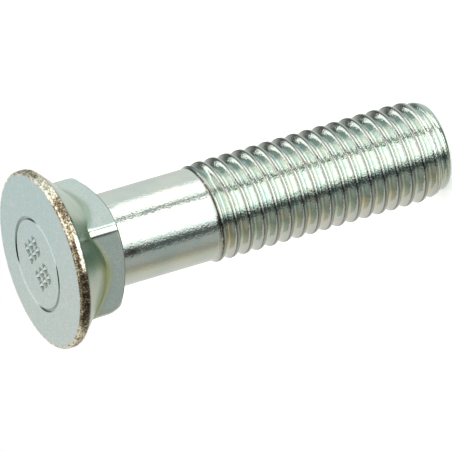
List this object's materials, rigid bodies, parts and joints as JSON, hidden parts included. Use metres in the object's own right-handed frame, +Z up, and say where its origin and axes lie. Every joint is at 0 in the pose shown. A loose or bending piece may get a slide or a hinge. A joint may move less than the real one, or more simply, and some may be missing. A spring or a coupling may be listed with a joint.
{
  "type": "square-neck countersunk bolt",
  "caption": "Flat countersunk bolt with a low square neck, a plain reduced shank and a coarse right-hand thread.",
  "frame": {"origin": "on the floor, at the middle of the flat end that the bolt stands on", "axes": "+Z up along the bolt's axis, from the tip to the head; +X points to a crest of the thread 20.3 mm under the face"},
  "size_m": [0.0212, 0.0212, 0.0509],
  "materials": {
    "zinc": "zinc plated steel, matt on the forged head and bright on the rolled thread"
  },
  "bodies": {
    "root": {"bolt": "zinc"}
  },
  "joints": []
}
